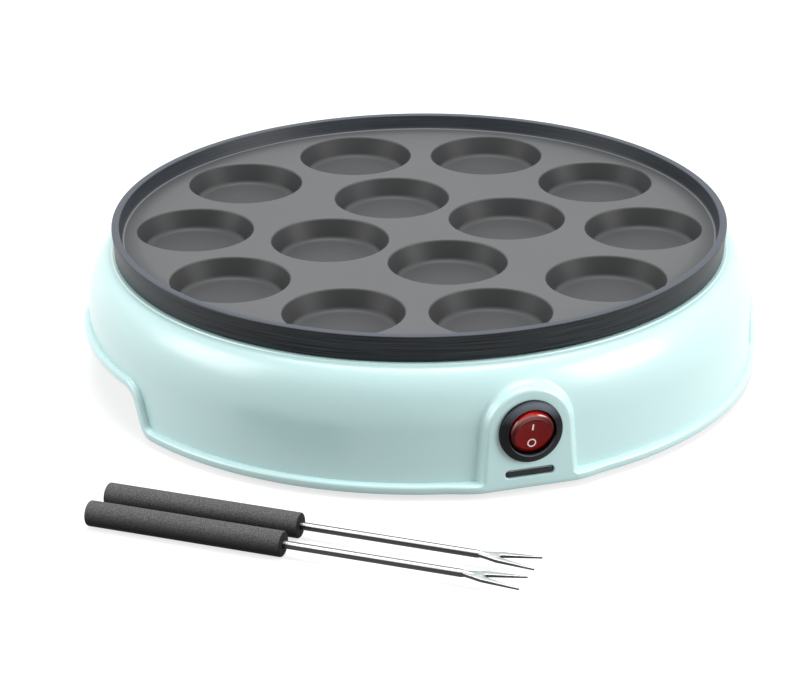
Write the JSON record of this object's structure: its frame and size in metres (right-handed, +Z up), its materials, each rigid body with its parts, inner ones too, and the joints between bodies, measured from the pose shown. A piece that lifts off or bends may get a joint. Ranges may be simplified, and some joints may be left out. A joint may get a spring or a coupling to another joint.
{
  "type": "mini pancake maker",
  "caption": "Round countertop mini pancake maker: dark pitted hotplate on a pale mint base with a rocker switch, grip notches and loose two-tined forks.",
  "frame": {"origin": "centre of the bottom cover's flat underside, on the maker's own axis, 4 mm above the table", "axes": "+Z up through the hotplate, -Y towards the switch, +X to the right of someone facing the switch"},
  "size_m": [0.2787, 0.3364, 0.057],
  "materials": {
    "nonstick": "satin charcoal non-stick coating on cast aluminium",
    "housing_mint": "satin-gloss pale mint moulding",
    "cover_mint": "fine-textured pale mint moulding",
    "rubber_black": "matt black rubber",
    "bezel_black": "semi-gloss black moulding",
    "rocker_red": "glossy translucent dark red moulding",
    "lens_smoked": "glossy smoked black lens",
    "steel_bright": "polished stainless steel",
    "steel_zinc": "zinc-plated steel",
    "shield_aluminium": "plain rolled aluminium sheet",
    "sheath_steel": "heat-darkened steel sheath",
    "brass": "plain brass strip",
    "ceramic_white": "unglazed white ceramic",
    "lamp_glass": "clear glass with a warm tint",
    "grip_charcoal": "speckled charcoal grip with a fine grain",
    "lead_brown": "brown silicone insulation",
    "lead_blue": "blue silicone insulation",
    "lead_sleeve": "pale glass-fibre sleeve",
    "lead_green": "green earth insulation"
  },
  "bodies": {
    "base": {"housing": "housing_mint", "bottom_cover": "cover_mint", "foot_1": "rubber_black", "foot_2": "rubber_black", "foot_3": "rubber_black", "foot_4": "rubber_black", "cover_screw_1": "steel_zinc", "cover_screw_2": "steel_zinc", "cover_screw_3": "steel_zinc", "cover_screw_4": "steel_zinc", "cord_gland": "rubber_black", "cooking_plate": "nonstick", "heating_element": "sheath_steel", "heat_shield": "shield_aluminium", "plate_screw_1": "steel_zinc", "plate_screw_2": "steel_zinc", "plate_screw_3": "steel_zinc", "plate_screw_4": "steel_zinc", "element_pin_right": "steel_zinc", "element_pin_left": "steel_zinc", "element_clamp_1": "steel_zinc", "element_clamp_2": "steel_zinc", "element_clamp_3": "steel_zinc", "clamp_screw_1": "steel_zinc", "clamp_screw_2": "steel_zinc", "clamp_screw_3": "steel_zinc", "thermostat": "bezel_black", "thermostat_strap": "steel_zinc", "strap_screw_1": "steel_zinc", "strap_screw_2": "steel_zinc", "switch_body": "bezel_black", "common_blade": "brass", "load_blade": "brass", "lamp_blade": "brass", "pilot_lens": "lens_smoked", "pilot_lamp": "lamp_glass", "terminal_block": "ceramic_white", "block_screw": "steel_zinc", "thermal_fuse": "shield_aluminium", "fuse_clip": "steel_zinc", "clip_screw": "steel_zinc", "earth_screw": "steel_zinc", "lead_live": "lead_brown", "lead_switched": "lead_brown", "lead_limiter": "lead_sleeve", "lead_element": "lead_sleeve", "lead_neutral": "lead_blue", "lead_rocker_lamp": "lead_blue", "lead_earth": "lead_green", "lead_pilot_live": "lead_brown", "lead_pilot_neutral": "lead_blue"},
    "rocker": {"switch_rocker": "rocker_red", "rocker_plunger": "steel_zinc", "rocker_lamp": "lamp_glass"},
    "contact": {"contact_arm": "brass"},
    "fork_front": {"fork_front_handle": "grip_charcoal", "fork_front_tines": "steel_bright"},
    "fork_rear": {"fork_rear_handle": "grip_charcoal", "fork_rear_tines": "steel_bright"}
  },
  "joints": [
    {"name": "rocker_tilt", "type": "hinge", "parent": "base", "child": "rocker", "pos_m": [0, -0.1272, 0.0202], "axis": [-1, 0, 0], "range_deg": [0, 24]},
    {"name": "contact_tilt", "type": "hinge", "parent": "base", "child": "contact", "pos_m": [0, -0.1166, 0.0202], "axis": [-1, 0, 0], "range_deg": [-12, 0]},
    {"name": "fork_front_lift", "type": "slide", "parent": "base", "child": "fork_front", "axis": [0, 0, 1], "range_m": [0, 0.15]},
    {"name": "fork_rear_lift", "type": "slide", "parent": "base", "child": "fork_rear", "axis": [0, 0, 1], "range_m": [0, 0.15]}
  ],
  "couplings": [
    {"joint": "contact_tilt", "follows": "rocker_tilt", "ratio": -0.5}
  ]
}
